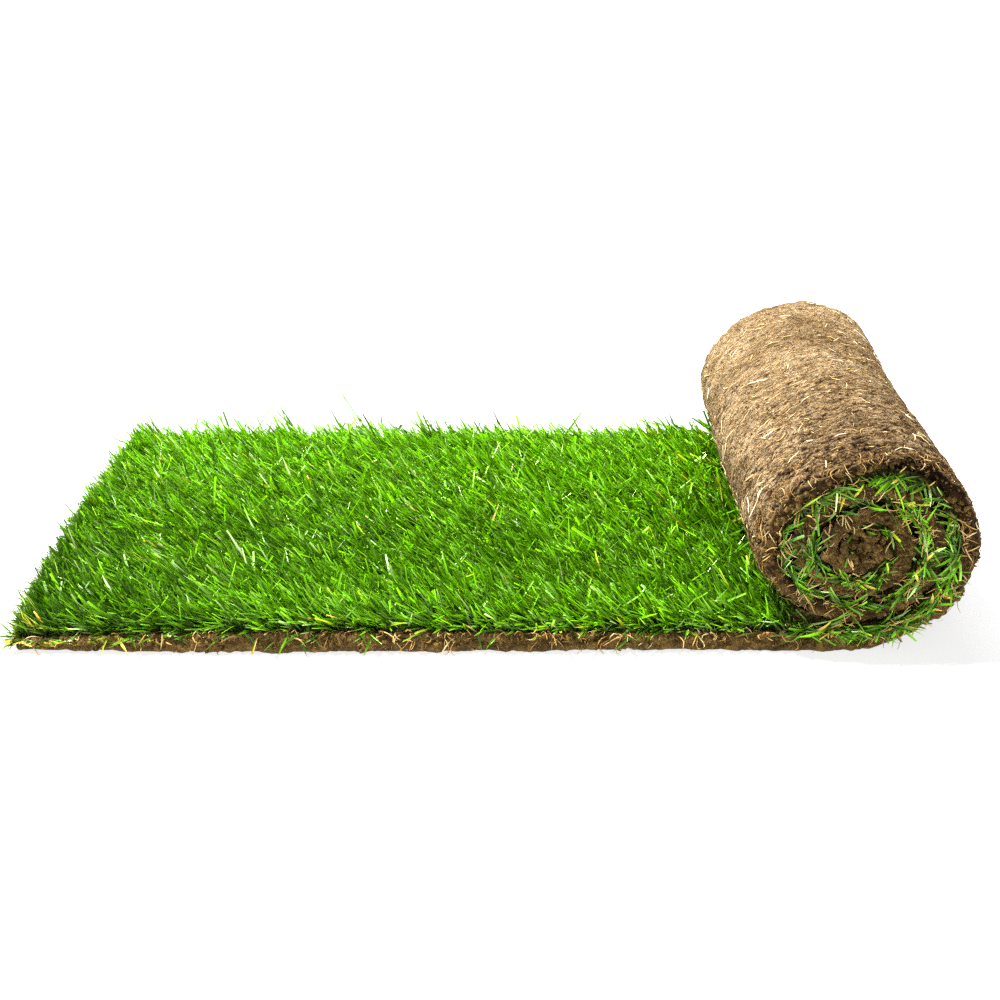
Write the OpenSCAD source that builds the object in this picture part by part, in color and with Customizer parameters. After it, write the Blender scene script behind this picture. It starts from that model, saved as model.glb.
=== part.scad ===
// Roll of turf: one long strip of lawn, part of it rolled up and the rest lying flat.
// The soil side is outermost on the roll; the grass is on top of the flat tail and
// pressed between the turns.
// X runs along the strip, Y across it, Z up. The origin is on the floor under the middle
// of the whole piece.

/* [Strip] */
// width of the cut strip, across Y (mm)
strip_w = 400; // [300:5:600]
// length of the flat tail, from its cut end to where the roll starts to lift (mm)
tail_l = 645; // [200:5:1200]
// thickness of the root-bound soil (mm)
soil_t = 15; // [10:0.5:17]
// depth of the standing grass on the flat tail (mm)
pile_h = 22; // [12:1:28]

/* [Roll] */
// height of the middle of the roll above the floor (mm)
core_z = 86; // [84:1:120]
// thickness of the grass once it is pressed between two turns (mm)
pressed_t = 6; // [5:0.5:8]
// angle wound up, counted from under the roll (degrees)
wind_deg = 1098; // [900:6:1110]
// sideways spread of the roll under its own weight, as a share of its radius
spread = 0.084; // [0:0.002:0.1]
// lean of the roll towards its flat tail, as a share of its radius
lean = 0.04; // [0:0.002:0.045]

/* [Hidden] */
// angular step of the winding (degrees)
step = 3;
// the roll eases off the floor over this angle (degrees)
ease = 40;
pitch = soil_t + pressed_t;
flat_top = soil_t + pile_h;

// share of a full turn's shrinkage that has built up at winding angle t
function shrink(t) = (t < ease ? t * t / (2 * ease) : t - ease / 2) / 360;
// smooth rise from 0 to 1
function rise(u) = let (v = min(max(u, 0), 1)) v * v * (3 - 2 * v);
// how far the section departs from round at winding angle t
function oval(t) = 1 + rise(t / 50) * (spread * (1 - cos(2 * t)) / 2
    - 0.007 * sin(2 * t) - 0.025 * (1 - cos(3 * t)) / 2 + lean * sin(3 * t));
// radius of the soil's outer face
function r_out(t) = (core_z - pitch * shrink(t)) * oval(t);
// a point of the section: winding angle t, radius r
function at(t, r) = [r * sin(t), core_z - r * cos(t)];
function outer(t) = at(t, r_out(t));
// the inner face eases from the flat strip's thickness to the same depth all round
function inner(t) = at(t, r_out(t) - soil_t);

// where the flat pile meets the lower left of the roll
function meets(t) = outer(t)[1] < flat_top ? t : meets(t + 1);
contact = meets(285);

turn_out = [for (t = [0 : step : wind_deg]) outer(t)];
turn_in = [for (t = [0 : step : wind_deg]) inner(t)];
n = len(turn_out);

// middle of the whole piece along X
x_right = max([for (t = [0 : step : 180]) outer(t)[0]]);
x_mid = (x_right - tail_l) / 2;

// stretches a section drawn in X and Z across the width of the strip
module across() {
    translate([-x_mid, strip_w / 2, 0]) rotate([90, 0, 0])
        linear_extrude(height = strip_w) children();
}

// the root-bound soil: flat tail and winding in one unbroken sheet
module soil_mat() {
    color([0.30, 0.21, 0.13]) across()
        polygon(concat(
            [[-tail_l, 0]],
            turn_out,
            [for (i = [n - 1 : -1 : 0]) turn_in[i]],
            [[-tail_l, soil_t]]));
}

// the grass: standing on the tail, pressed between the turns, closing the middle
module grass_sward() {
    color([0.25, 0.45, 0.12]) across()
        polygon(concat(
            [[-tail_l, soil_t]],
            turn_in,
            [for (t = [step * (n - 1) : -step : contact + step / 2]) outer(t)],
            [[outer(contact)[0], flat_top], [-tail_l, flat_top]]));
}

soil_mat();
grass_sward();
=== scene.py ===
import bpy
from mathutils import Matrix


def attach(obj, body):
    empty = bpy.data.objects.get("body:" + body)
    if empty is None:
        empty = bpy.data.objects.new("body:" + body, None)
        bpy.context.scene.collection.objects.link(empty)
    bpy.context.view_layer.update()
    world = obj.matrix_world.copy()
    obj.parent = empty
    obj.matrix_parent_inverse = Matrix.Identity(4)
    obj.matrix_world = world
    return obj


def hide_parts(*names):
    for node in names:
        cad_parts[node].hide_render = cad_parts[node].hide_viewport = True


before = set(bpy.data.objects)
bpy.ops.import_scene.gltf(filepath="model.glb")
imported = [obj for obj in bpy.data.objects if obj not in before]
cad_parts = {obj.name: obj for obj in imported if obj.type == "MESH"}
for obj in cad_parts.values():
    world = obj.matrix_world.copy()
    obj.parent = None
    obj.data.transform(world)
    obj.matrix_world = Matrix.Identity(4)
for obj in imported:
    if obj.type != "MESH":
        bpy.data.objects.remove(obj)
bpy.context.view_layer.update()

import math

import bpy
import numpy as np
from mathutils import Vector

# ---------------------------------------------------------------- section of the strip
# The same section as the construction, in millimetres. x runs along the strip from the
# point where the roll touches the floor, y across it from its front edge, z up.
SOIL, PRESSED, PILE = 15.0, 6.0, 22.0
TAIL, WIDTH = 645.0, 400.0
CORE_Z, WIND, EASE = 86.0, 1098.0, 40.0
SPREAD, LEAN = 0.084, 0.04
PITCH = SOIL + PRESSED


def shrink(t):
    return np.where(t < EASE, t * t / (2 * EASE), t - EASE / 2) / 360


def rise(u):
    v = np.clip(u, 0, 1)
    return v * v * (3 - 2 * v)


def r_out(t):
    a = np.radians(t)
    oval = 1 + rise(t / 50) * (SPREAD * (1 - np.cos(2 * a)) / 2 - 0.007 * np.sin(2 * a)
                               - 0.025 * (1 - np.cos(3 * a)) / 2 + LEAN * np.sin(3 * a))
    return (CORE_Z - PITCH * shrink(t)) * oval


def at(t, r):
    a = np.radians(t)
    return np.stack([r * np.sin(a), CORE_Z - r * np.cos(a)], -1)


steps = np.arange(0, 181, 3.0)
X_MID = (at(steps, r_out(steps))[:, 0].max() - TAIL) / 2


def to_row(p):
    """Millimetres in the strip's own frame to metres in the row frame."""
    q = np.array(p, float)
    q[..., 0] -= X_MID
    q[..., 1] -= WIDTH / 2
    return q / 1000


def askew(p):
    """The roll is wound a little loosely: its far end drifts sideways and its free side bulges."""
    q = np.array(p, float)
    x, y, z = q[..., 0], q[..., 1], q[..., 2]
    far = rise((y / WIDTH - 0.50) / 0.50) * rise((z - 6) / 105) * rise((x + 120) / 70)
    near = rise((0.34 - y / WIDTH) / 0.34) * rise((x - 20) / 60) * rise((z - 4) / 26) * rise((142 - z) / 46)
    corner = rise((y / WIDTH - 0.45) / 0.55) * (1 - rise((x + TAIL + 30) / 130))
    q[..., 0] = x + 10.5 * far + 5.0 * near + 8.0 * corner
    # the mat is thinner at the tail's cut end, most of all at its front corner
    sink = 4.6 * np.exp(-((x + TAIL) / 75) ** 2) * (0.3 + 0.7 * np.exp(-(y / 50) ** 2)) * np.clip(z / SOIL, 0, 1)
    q[..., 2] = z - sink + 5.5 * rise((y / WIDTH - 0.50) / 0.50) * rise((z - 75) / 60) * (1 - rise((x + 10) / 60))
    return q


# ---------------------------------------------------------------- noise
_r = np.random.default_rng(11)
PERM = np.tile(_r.permutation(256), 2)
GRAD = _r.normal(size=(256, 3))
GRAD /= np.linalg.norm(GRAD, axis=1)[:, None]


def noise(x, y=0.0, z=0.0, seed=0):
    """Gradient noise, about -0.7 to 0.7."""
    x, y, z = np.broadcast_arrays(np.asarray(x, float), np.asarray(y, float), np.asarray(z, float))
    p = np.stack([x + seed * 13.37, y + seed * 7.77, z + seed * 3.31], -1)
    i = np.floor(p).astype(np.int64)
    f = p - i
    u = f * f * f * (f * (f * 6 - 15) + 10)
    i &= 255
    total = 0
    for dx in (0, 1):
        wx = u[..., 0] if dx else 1 - u[..., 0]
        for dy in (0, 1):
            wy = u[..., 1] if dy else 1 - u[..., 1]
            for dz in (0, 1):
                wz = u[..., 2] if dz else 1 - u[..., 2]
                h = PERM[PERM[PERM[(i[..., 0] + dx) & 255] + ((i[..., 1] + dy) & 255) & 255]
                         + ((i[..., 2] + dz) & 255) & 255]
                g = GRAD[h]
                total = total + wx * wy * wz * (g[..., 0] * (f[..., 0] - dx) + g[..., 1] * (f[..., 1] - dy)
                                                + g[..., 2] * (f[..., 2] - dz))
    return total


def fbm(x, y=0.0, z=0.0, octaves=4, seed=0, gain=0.5):
    x, y, z = np.asarray(x, float), np.asarray(y, float), np.asarray(z, float)
    total, amp, s = 0, 1.0, 1.0
    for k in range(octaves):
        total = total + amp * noise(x * s, y * s, z * s, seed + k * 5)
        amp, s = amp * gain, s * 2.03
    return total


def lumps(x, y=0.0, z=0.0, octaves=3, seed=0):
    """Rounded lumps with creases between them, about 0 to 1."""
    x, y, z = np.asarray(x, float), np.asarray(y, float), np.asarray(z, float)
    total, amp, s = 0, 1.0, 1.0
    for k in range(octaves):
        total = total + amp * np.abs(noise(x * s, y * s, z * s, seed + k * 5))
        amp, s = amp * 0.5, s * 2.1
    return total * 1.3


# ---------------------------------------------------------------- mesh helpers
def mesh_object(name, verts_mm, loops, counts, materials, mat_index=None, uvs=None, smooth=True):
    """A mesh from flat arrays: loops holds the vertex of each corner, counts the corners of each face."""
    co = to_row(askew(verts_mm))
    me = bpy.data.meshes.new(name)
    me.vertices.add(len(co))
    me.vertices.foreach_set("co", co.astype(np.float32).ravel())
    loops = np.asarray(loops, np.int32)
    counts = np.asarray(counts, np.int32)
    starts = np.concatenate([[0], np.cumsum(counts)[:-1]]).astype(np.int32)
    me.loops.add(len(loops))
    me.loops.foreach_set("vertex_index", loops)
    me.polygons.add(len(counts))
    me.polygons.foreach_set("loop_start", starts)
    me.polygons.foreach_set("loop_total", counts)
    if mat_index is not None:
        me.polygons.foreach_set("material_index", np.asarray(mat_index, np.int32))
    me.polygons.foreach_set("use_smooth", np.full(len(counts), smooth))
    for uv_name, uv in (uvs or {}).items():
        layer = me.uv_layers.new(name=uv_name, do_init=False)
        layer.uv.foreach_set("vector", np.asarray(uv, np.float32).ravel())
    for m in materials:
        me.materials.append(m)
    me.update()
    me.validate()
    ob = bpy.data.objects.new(name, me)
    bpy.context.scene.collection.objects.link(ob)
    return ob


# ---------------------------------------------------------------- material helpers
def new_material(name):
    m = bpy.data.materials.new(name)
    m.use_nodes = True
    nt = m.node_tree
    nt.nodes.clear()
    out = nt.nodes.new("ShaderNodeOutputMaterial")
    bsdf = nt.nodes.new("ShaderNodeBsdfPrincipled")
    nt.links.new(bsdf.outputs[0], out.inputs[0])
    return m, nt, bsdf, out


def math_node(nt, op, a, b=None, clamp=False):
    n = nt.nodes.new("ShaderNodeMath")
    n.operation = op
    n.use_clamp = clamp
    for i, v in enumerate((a, b)):
        if v is None:
            continue
        if isinstance(v, (int, float)):
            n.inputs[i].default_value = v
        else:
            nt.links.new(v, n.inputs[i])
    return n.outputs[0]


def ramp(nt, fac, stops, mode="LINEAR"):
    n = nt.nodes.new("ShaderNodeValToRGB")
    n.color_ramp.interpolation = mode
    e = n.color_ramp.elements
    e[0].position, e[0].color = stops[0][0], (*stops[0][1], 1)
    e[1].position, e[1].color = stops[-1][0], (*stops[-1][1], 1)
    for pos, col in stops[1:-1]:
        x = e.new(pos)
        x.color = (*col, 1)
    nt.links.new(fac, n.inputs[0])
    return n.outputs[0]


def mix_rgb(nt, fac, a, b, mode="MIX"):
    n = nt.nodes.new("ShaderNodeMix")
    n.data_type = "RGBA"
    n.blend_type = mode
    for sock, v in ((n.inputs[0], fac), (n.inputs[6], a), (n.inputs[7], b)):
        if isinstance(v, (int, float)):
            sock.default_value = v
        elif isinstance(v, tuple):
            sock.default_value = (*v, 1) if len(v) == 3 else v
        else:
            nt.links.new(v, sock)
    return n.outputs[2]


def noise_node(nt, vec, scale, detail=4.0, rough=0.55, distortion=0.0, kind="FBM"):
    n = nt.nodes.new("ShaderNodeTexNoise")
    n.noise_type = kind
    n.inputs["Scale"].default_value = scale
    n.inputs["Detail"].default_value = detail
    n.inputs["Roughness"].default_value = rough
    n.inputs["Distortion"].default_value = distortion
    nt.links.new(vec, n.inputs["Vector"])
    return n.outputs["Fac"]


def voronoi_node(nt, vec, scale, feature="F1", rnd=1.0):
    n = nt.nodes.new("ShaderNodeTexVoronoi")
    n.feature = feature
    n.inputs["Scale"].default_value = scale
    n.inputs["Randomness"].default_value = rnd
    nt.links.new(vec, n.inputs["Vector"])
    return n.outputs["Distance"]


def stretch(nt, vec, scale):
    n = nt.nodes.new("ShaderNodeMapping")
    n.inputs["Scale"].default_value = scale
    nt.links.new(vec, n.inputs["Vector"])
    return n.outputs[0]


def bump(nt, height, strength, distance, normal=None):
    n = nt.nodes.new("ShaderNodeBump")
    n.inputs["Strength"].default_value = strength
    n.inputs["Distance"].default_value = distance
    nt.links.new(height, n.inputs["Height"])
    if normal is not None:
        nt.links.new(normal, n.inputs["Normal"])
    return n.outputs[0]


def uv_node(nt, name):
    n = nt.nodes.new("ShaderNodeUVMap")
    n.uv_map = name
    return n.outputs[0]


def split_xyz(nt, vec):
    n = nt.nodes.new("ShaderNodeSeparateXYZ")
    nt.links.new(vec, n.inputs[0])
    return n.outputs


# ---------------------------------------------------------------- materials
COLUMNS = 256  # kinds of blade, one column of the blade map each


def blade_material():
    """The blade map runs across the kinds of blade in u and from root to tip in v."""
    m, nt, bsdf, out = new_material("grass_blades")
    u, v, _ = split_xyz(nt, uv_node(nt, "blade"))
    column = math_node(nt, "FLOOR", math_node(nt, "MULTIPLY", u, COLUMNS))
    share = math_node(nt, "DIVIDE", column, COLUMNS)
    white = nt.nodes.new("ShaderNodeTexWhiteNoise")
    white.noise_dimensions = "1D"
    nt.links.new(column, white.inputs["W"])
    # kinds in order: deep green, mid green, bright green, pale blades (partly the paler backs of blades, partly painted
    # highlight), yellow-green, straw and brown
    kind = ramp(nt, share, [
        (0.00, (0.030, 0.100, 0.001)), (0.20, (0.072, 0.205, 0.002)), (0.42, (0.150, 0.400, 0.003)),
        (0.66, (0.280, 0.660, 0.007)), (0.70, (0.300, 0.560, 0.130)), (0.83, (0.640, 0.850, 0.420)),
        (0.86, (0.420, 0.640, 0.010)), (0.92, (0.560, 0.540, 0.040)), (0.96, (0.700, 0.460, 0.130)),
        (1.00, (0.400, 0.190, 0.050))])
    spread = math_node(nt, "POWER", white.outputs["Value"], 1.3)
    bright = math_node(nt, "ADD", math_node(nt, "MULTIPLY", spread, 1.42), 0.40)
    # painted shade: each blade is darkened toward its root for the shade among the blades around it, and grows lighter
    # toward its tip
    lift = ramp(nt, v, [(0.0, (0.05,) * 3), (0.30, (0.17,) * 3), (0.58, (0.84,) * 3), (1.0, (1.52,) * 3)])
    tone = mix_rgb(nt, 1.0, kind, lift, "MULTIPLY")
    scaled = nt.nodes.new("ShaderNodeVectorMath")
    scaled.operation = "SCALE"
    nt.links.new(tone, scaled.inputs[0])
    nt.links.new(bright, scaled.inputs["Scale"])
    colour = scaled.outputs[0]
    nt.links.new(colour, bsdf.inputs["Base Color"])
    bsdf.inputs["Roughness"].default_value = 0.25
    bsdf.inputs["Specular IOR Level"].default_value = 0.85
    bsdf.inputs["Specular Tint"].default_value = (0.78, 1.0, 0.50, 1)
    through = nt.nodes.new("ShaderNodeBsdfTranslucent")
    nt.links.new(mix_rgb(nt, 1.0, colour, (1.30, 1.15, 0.3), "MULTIPLY"), through.inputs["Color"])
    mix = nt.nodes.new("ShaderNodeMixShader")
    mix.inputs[0].default_value = 0.19
    nt.links.new(bsdf.outputs[0], mix.inputs[1])
    nt.links.new(through.outputs[0], mix.inputs[2])
    nt.links.new(mix.outputs[0], out.inputs[0])
    return m


def thatch_material():
    m, nt, bsdf, out = new_material("thatch")
    co = nt.nodes.new("ShaderNodeTexCoord").outputs["Object"]
    fine = noise_node(nt, stretch(nt, co, (1, 0.4, 1)), 420, 5, 0.65)
    broad = noise_node(nt, co, 40, 3)
    # the thatch is coloured near black: partly its own dark matted bases, partly painted shade in the gaps between the
    # blades
    colour = ramp(nt, fine, [(0.36, (0.010, 0.010, 0.002)), (0.48, (0.034, 0.036, 0.006)),
                             (0.56, (0.075, 0.060, 0.014)), (0.66, (0.26, 0.18, 0.06))])
    nt.links.new(mix_rgb(nt, math_node(nt, "MULTIPLY", broad, 0.5), colour, (0.03, 0.022, 0.012)),
                 bsdf.inputs["Base Color"])
    bsdf.inputs["Roughness"].default_value = 0.95
    bsdf.inputs["Specular IOR Level"].default_value = 0.05
    nt.links.new(bump(nt, fine, 0.9, 0.003), bsdf.inputs["Normal"])
    return m


def skin_colour(nt, flat, co):
    """Colour and relief of the turf's underside. flat is metres along and across the strip."""
    warp = nt.nodes.new("ShaderNodeTexNoise")
    warp.inputs["Scale"].default_value = 170
    warp.inputs["Detail"].default_value = 3
    nt.links.new(flat, warp.inputs["Vector"])
    add = nt.nodes.new("ShaderNodeVectorMath")
    add.operation = "MULTIPLY_ADD"
    nt.links.new(warp.outputs["Color"], add.inputs[0])
    add.inputs[1].default_value = (0.006, 0.006, 0)
    nt.links.new(flat, add.inputs[2])
    bent = add.outputs[0]
    broad = noise_node(nt, co, 16, 4, 0.6)
    mid = noise_node(nt, stretch(nt, flat, (1, 1.9, 1)), 75, 5, 0.66, 0.5)
    clump = voronoi_node(nt, stretch(nt, bent, (0.75, 1.3, 1)), 210, "DISTANCE_TO_EDGE")
    grain = noise_node(nt, flat, 620, 5, 0.80)
    fibre = noise_node(nt, stretch(nt, flat, (0.34, 1.6, 1)), 520, 4, 0.72, 1.6)
    pits = noise_node(nt, stretch(nt, flat, (0.62, 1.35, 1)), 330, 5, 0.70, 0.8)
    base = ramp(nt, mid, [(0.34, (0.090, 0.050, 0.018)), (0.45, (0.235, 0.155, 0.072)),
                          (0.54, (0.380, 0.280, 0.160)), (0.66, (0.520, 0.415, 0.270))])
    base = mix_rgb(nt, 0.60, base, ramp(nt, grain, [(0.36, (0.035, 0.018, 0.006)), (0.45, (0.185, 0.112, 0.042)),
                                                    (0.54, (0.400, 0.295, 0.160)), (0.64, (0.740, 0.620, 0.420))]))
    rust = ramp(nt, fibre, [(0.545, (0, 0, 0)), (0.59, (1, 1, 1))])
    base = mix_rgb(nt, math_node(nt, "MULTIPLY", rust, 0.70), base, (0.470, 0.225, 0.055))
    # painted shade in the creases between the clumps of soil, strongest where the mid pattern is dark
    crease_shade = ramp(nt, clump, [(0.0, (1, 1, 1)), (0.13, (0, 0, 0))])
    some = ramp(nt, mid, [(0.42, (1, 1, 1)), (0.60, (0.2,) * 3)])
    base = mix_rgb(nt, math_node(nt, "MULTIPLY", math_node(nt, "MULTIPLY", crease_shade, some), 0.82), base,
                   (0.060, 0.032, 0.012))
    # painted shade: the pits are darkened almost to black, with more of them towards the front
    _, across, _ = split_xyz(nt, flat)
    more = ramp(nt, across, [(0.0, (1, 1, 1)), (0.10, (0.8,) * 3), (0.24, (0.35,) * 3), (0.34, (0, 0, 0))])
    deep = math_node(nt, "SUBTRACT", pits, math_node(nt, "MULTIPLY", more, 0.046))
    dark = ramp(nt, deep, [(0.405, (1, 1, 1)), (0.428, (0, 0, 0))])
    base = mix_rgb(nt, math_node(nt, "MULTIPLY", dark, 0.92), base, (0.034, 0.017, 0.006))
    speck = ramp(nt, voronoi_node(nt, bent, 430), [(0.13, (1, 1, 1)), (0.20, (0, 0, 0))])
    sparse = ramp(nt, noise_node(nt, flat, 140, 2, 0.5), [(0.46, (0, 0, 0)), (0.56, (1, 1, 1))])
    base = mix_rgb(nt, math_node(nt, "MULTIPLY", math_node(nt, "MULTIPLY", speck, sparse), 0.75), base,
                   (0.780, 0.640, 0.420))
    tint = ramp(nt, broad, [(0.32, (0.66, 0.60, 0.50)), (0.50, (1.04, 1.02, 0.98)), (0.68, (1.38, 1.40, 1.44))])
    base = mix_rgb(nt, 1.0, base, tint, "MULTIPLY")
    height = math_node(nt, "MULTIPLY", math_node(nt, "MINIMUM", clump, 0.25), 2.0)
    return base, mid, grain, pits, height


def skin_material():
    """The underside of the turf: fine roots in pale dried soil, with pits, creases and streaks along the strip, and
    painted shade in its pits, creases and hollows.
    """
    m, nt, bsdf, out = new_material("soil_root_felt")
    flat = uv_node(nt, "strip")
    u, v, _ = split_xyz(nt, flat)
    co = nt.nodes.new("ShaderNodeTexCoord").outputs["Object"]
    base, mid, grain, pits, height = skin_colour(nt, flat, co)
    # towards the front lip the soil is moister, darker and looser
    edge = math_node(nt, "ADD", v, math_node(nt, "MULTIPLY", math_node(nt, "SUBTRACT", mid, 0.5), 0.16))
    lip = ramp(nt, edge, [(0.0, (1, 1, 1)), (0.030, (0.52,) * 3), (0.075, (0.14,) * 3), (0.13, (0, 0, 0))])
    # the side that leans over the grass stays dry almost to its rim
    lip = math_node(nt, "MULTIPLY", lip, ramp(nt, u, [(0.31, (1, 1, 1)), (0.365, (0.30,) * 3)]))
    # painted shade and light: the hollows of the relief are darkened and the tops of its lumps lightened
    hollow, _, _ = split_xyz(nt, uv_node(nt, "relief"))
    hollow = math_node(nt, "ADD", hollow, math_node(nt, "MULTIPLY", math_node(nt, "SUBTRACT", grain, 0.5), 0.5))
    base = mix_rgb(nt, 1.0, base, ramp(nt, hollow, [
        (0.17, (0.13, 0.10, 0.07)), (0.335, (0.46, 0.39, 0.31)), (0.46, (1.0, 1.0, 1.0)), (0.68, (1.44, 1.44, 1.46))]),
        "MULTIPLY")
    base = mix_rgb(nt, math_node(nt, "MULTIPLY", lip, 0.85), base,
                   mix_rgb(nt, 1.0, base, (0.40, 0.33, 0.27), "MULTIPLY"))
    nt.links.new(base, bsdf.inputs["Base Color"])
    bsdf.inputs["Roughness"].default_value = 0.95
    bsdf.inputs["Specular IOR Level"].default_value = 0.10
    n1 = bump(nt, height, 0.9, 0.0035)
    n2 = bump(nt, pits, 1.0, 0.0035, n1)
    n3 = bump(nt, grain, 0.9, 0.0016, n2)
    nt.links.new(n3, bsdf.inputs["Normal"])
    return m


def cut_material():
    """The cut edges of the soil: moist, dark and crumbly, paler where they meet the dried underside, with painted shade
    in their hollows and under the outer turn's lip.
    The cut map's v runs from the underside at 0 to the grass at 1."""
    m, nt, bsdf, out = new_material("soil_cut_edge")
    co = nt.nodes.new("ShaderNodeTexCoord").outputs["Object"]
    u, w, _ = split_xyz(nt, uv_node(nt, "cut"))
    broad = noise_node(nt, co, 60, 3, 0.6)
    mid = noise_node(nt, co, 230, 5, 0.70, 0.3)
    fine = noise_node(nt, co, 900, 5, 0.80)
    cells = voronoi_node(nt, co, 380)
    base = ramp(nt, mid, [(0.34, (0.034, 0.019, 0.004)), (0.45, (0.140, 0.087, 0.022)),
                          (0.54, (0.250, 0.164, 0.046)), (0.66, (0.440, 0.310, 0.110))])
    base = mix_rgb(nt, 0.50, base, ramp(nt, fine, [(0.36, (0.030, 0.016, 0.004)), (0.50, (0.190, 0.121, 0.034)),
                                                   (0.62, (0.560, 0.400, 0.150))]))
    # painted shade and light: the hollows of the relief are darkened and the tops of its lumps lightened
    hollow, _, _ = split_xyz(nt, uv_node(nt, "relief"))
    base = mix_rgb(nt, 1.0, base, ramp(nt, hollow, [
        (0.10, (0.25, 0.22, 0.20)), (0.34, (0.66, 0.64, 0.62)), (0.50, (1.0, 1.0, 1.0)), (0.80, (1.45, 1.42, 1.38))]),
        "MULTIPLY")
    base = mix_rgb(nt, 1.0, base, ramp(nt, broad, [(0.35, (0.55, 0.50, 0.46)), (0.65, (1.35, 1.22, 1.10))]), "MULTIPLY")
    pale = math_node(nt, "ADD", w, math_node(nt, "MULTIPLY", math_node(nt, "SUBTRACT", mid, 0.5), 1.1))
    pale = ramp(nt, pale, [(0.0, (1, 1, 1)), (0.12, (0.35,) * 3), (0.26, (0, 0, 0))])
    base = mix_rgb(nt, math_node(nt, "MULTIPLY", pale, 0.75), base,
                   ramp(nt, fine, [(0.32, (0.090, 0.050, 0.018)), (0.50, (0.270, 0.175, 0.075)),
                                   (0.68, (0.450, 0.325, 0.165))]))
    # the outermost turn's cut is darkened under the lip: partly its moist soil below the dried rim, partly painted
    # shadow of the overhanging lip
    turn = ramp(nt, u, [(0.10, (1, 1, 1)), (0.15, (0.30, 0.25, 0.24)), (0.20, (0.11, 0.090, 0.085)),
                        (0.27, (0.14, 0.115, 0.11)), (0.37, (0.50, 0.44, 0.43)), (0.60, (1, 1, 1))])
    base = mix_rgb(nt, ramp(nt, w, [(0.02, (0, 0, 0)), (0.16, (1, 1, 1))]), base,
                   mix_rgb(nt, 1.0, base, turn, "MULTIPLY"))
    nt.links.new(base, bsdf.inputs["Base Color"])
    bsdf.inputs["Roughness"].default_value = 0.9
    bsdf.inputs["Specular IOR Level"].default_value = 0.18
    n1 = bump(nt, mid, 1.0, 0.0045)
    n2 = bump(nt, cells, 0.6, 0.0020, n1)
    n3 = bump(nt, fine, 0.9, 0.0015, n2)
    nt.links.new(n3, bsdf.inputs["Normal"])
    return m


def straw_material():
    """Dry stems and roots. The map's u picks one of many tones and v runs along the stem."""
    m, nt, bsdf, out = new_material("straw_and_roots")
    u, v, _ = split_xyz(nt, uv_node(nt, "blade"))
    column = math_node(nt, "FLOOR", math_node(nt, "MULTIPLY", u, COLUMNS))
    tone = ramp(nt, math_node(nt, "DIVIDE", column, COLUMNS), [
        (0.0, (0.90, 0.76, 0.48)), (0.12, (0.84, 0.64, 0.31)), (0.25, (0.74, 0.51, 0.18)), (0.42, (0.62, 0.37, 0.10)),
        (0.62, (0.48, 0.23, 0.055)), (0.84, (0.22, 0.11, 0.030)), (0.92, (0.12, 0.06, 0.02)), (1.0, (0.84, 0.70, 0.42))])
    along = ramp(nt, v, [(0.0, (0.62,) * 3), (0.2, (1.0,) * 3), (0.85, (1.05,) * 3), (1.0, (0.75,) * 3)])
    nt.links.new(mix_rgb(nt, 1.0, tone, along, "MULTIPLY"), bsdf.inputs["Base Color"])
    bsdf.inputs["Roughness"].default_value = 0.6
    bsdf.inputs["Specular IOR Level"].default_value = 0.35
    return m


M_BLADE, M_THATCH, M_SKIN, M_CUT, M_STRAW = (
    blade_material(), thatch_material(), skin_material(), cut_material(), straw_material())


# ---------------------------------------------------------------- soil
def spiral_rows(spacing_outer, spacing_inner):
    """Winding angles whose outer points lie about the given distance apart."""
    t = np.arange(0, WIND + 0.25, 0.25)
    p = at(t, r_out(t))
    length = np.concatenate([[0], np.cumsum(np.hypot(*np.diff(p, axis=0).T))])
    first = length[t <= 362][-1]
    marks = np.concatenate([np.arange(0, first, spacing_outer), np.arange(first, length[-1], spacing_inner)])
    return np.interp(marks, length, t), marks


T_ROWS, ARC = spiral_rows(1.95, 2.3)
T_ROWS[-1] = WIND
flat_x = np.linspace(-TAIL, 0, 281)[:-1]
N_FLAT = len(flat_x)
N_ROWS = N_FLAT + len(T_ROWS)
K = 8            # cells through the thickness
NJ = 200         # cells across the strip
Y = np.linspace(0, WIDTH, NJ + 1)
outer_pts = np.concatenate([np.stack([flat_x, 0 * flat_x], 1), at(T_ROWS, r_out(T_ROWS))])
inner_pts = np.concatenate([np.stack([flat_x, 0 * flat_x + SOIL], 1), at(T_ROWS, r_out(T_ROWS) - SOIL)])
outward = np.concatenate([np.stack([0 * flat_x, 0 * flat_x - 1], 1),
                          np.stack([np.sin(np.radians(T_ROWS)), -np.cos(np.radians(T_ROWS))], 1)])
along_u = np.concatenate([flat_x, ARC])      # mm along the strip, 0 where the roll starts
wind_t = np.concatenate([flat_x * 0, T_ROWS])
fine_j = np.arange(NJ + 1)
coarse_j = np.array([0, 1, 2, 4, 7, 12, 20, 32, 50, 75, 100, 125, 150, 168, 180, 188, 193, 196, 198, 199, 200])


def skin_height(u, y, t):
    """How far the soil's outer face stands out from the plain section."""
    return 2.4 * fbm(u / 80, y / 60, seed=1, octaves=3) + 1.3 * fbm(u / 28, y / 13, seed=2, octaves=3) + skin_relief(u, y)


def skin_relief(u, y):
    """The finer part of that height."""
    h = 1.9 * (0.33 - lumps(u / 17, y / 8, seed=3, octaves=3))
    h += 1.4 * fbm(u / 6.5, y / 4.0, seed=4, octaves=2)
    crumbly = np.exp(-(np.maximum(y, 0) / 34) ** 1.5)
    h += crumbly * 5.6 * (lumps(u / 15, y / 9, seed=8, octaves=3) - 0.42)
    # dents and scars here and there, more of them towards the front
    h -= (0.5 + 1.5 * np.exp(-(np.maximum(y, 0) / 120) ** 2)) * rise((fbm(u / 11, y / 5, seed=12, octaves=3) - 0.22) / 0.16)
    return h


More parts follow.
